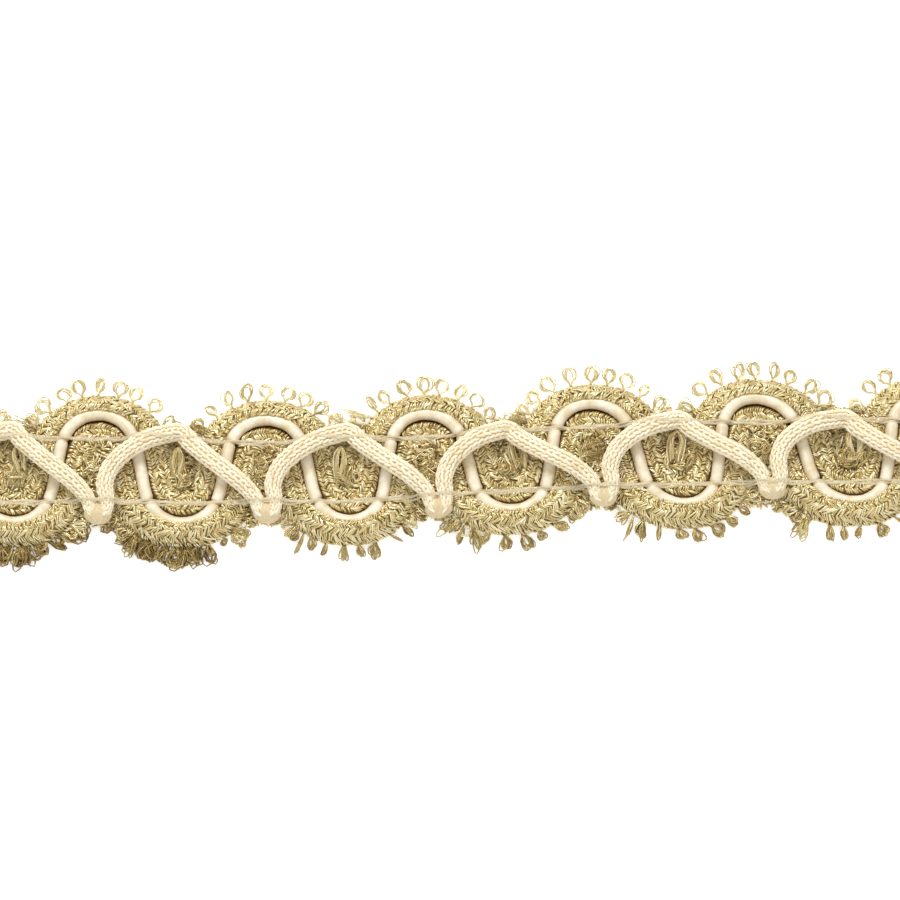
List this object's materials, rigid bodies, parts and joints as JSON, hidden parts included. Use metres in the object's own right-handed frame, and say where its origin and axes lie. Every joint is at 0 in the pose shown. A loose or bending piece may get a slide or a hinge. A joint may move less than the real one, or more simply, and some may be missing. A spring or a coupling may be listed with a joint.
{
  "type": "decorative braid",
  "caption": "Scalloped trimming braid: a flat metallic plait edged with small loops, a satin cord laid in a groove along it and a knitted cord that zigzags over both.",
  "frame": {"origin": "middle of the box round the braid, on the surface that it lies on", "axes": "+X along the braid, +Y across it, +Z out of its face, away from the surface"},
  "size_m": [0.165, 0.0324, 0.0063],
  "materials": {
    "gold_thread": "metallic yarn, plaited",
    "satin_thread": "satin",
    "cream_yarn": "soft knitted yarn"
  },
  "bodies": {
    "root": {"gold_plait": "gold_thread", "satin_cord": "satin_thread", "knit_cord": "cream_yarn"}
  },
  "joints": []
}
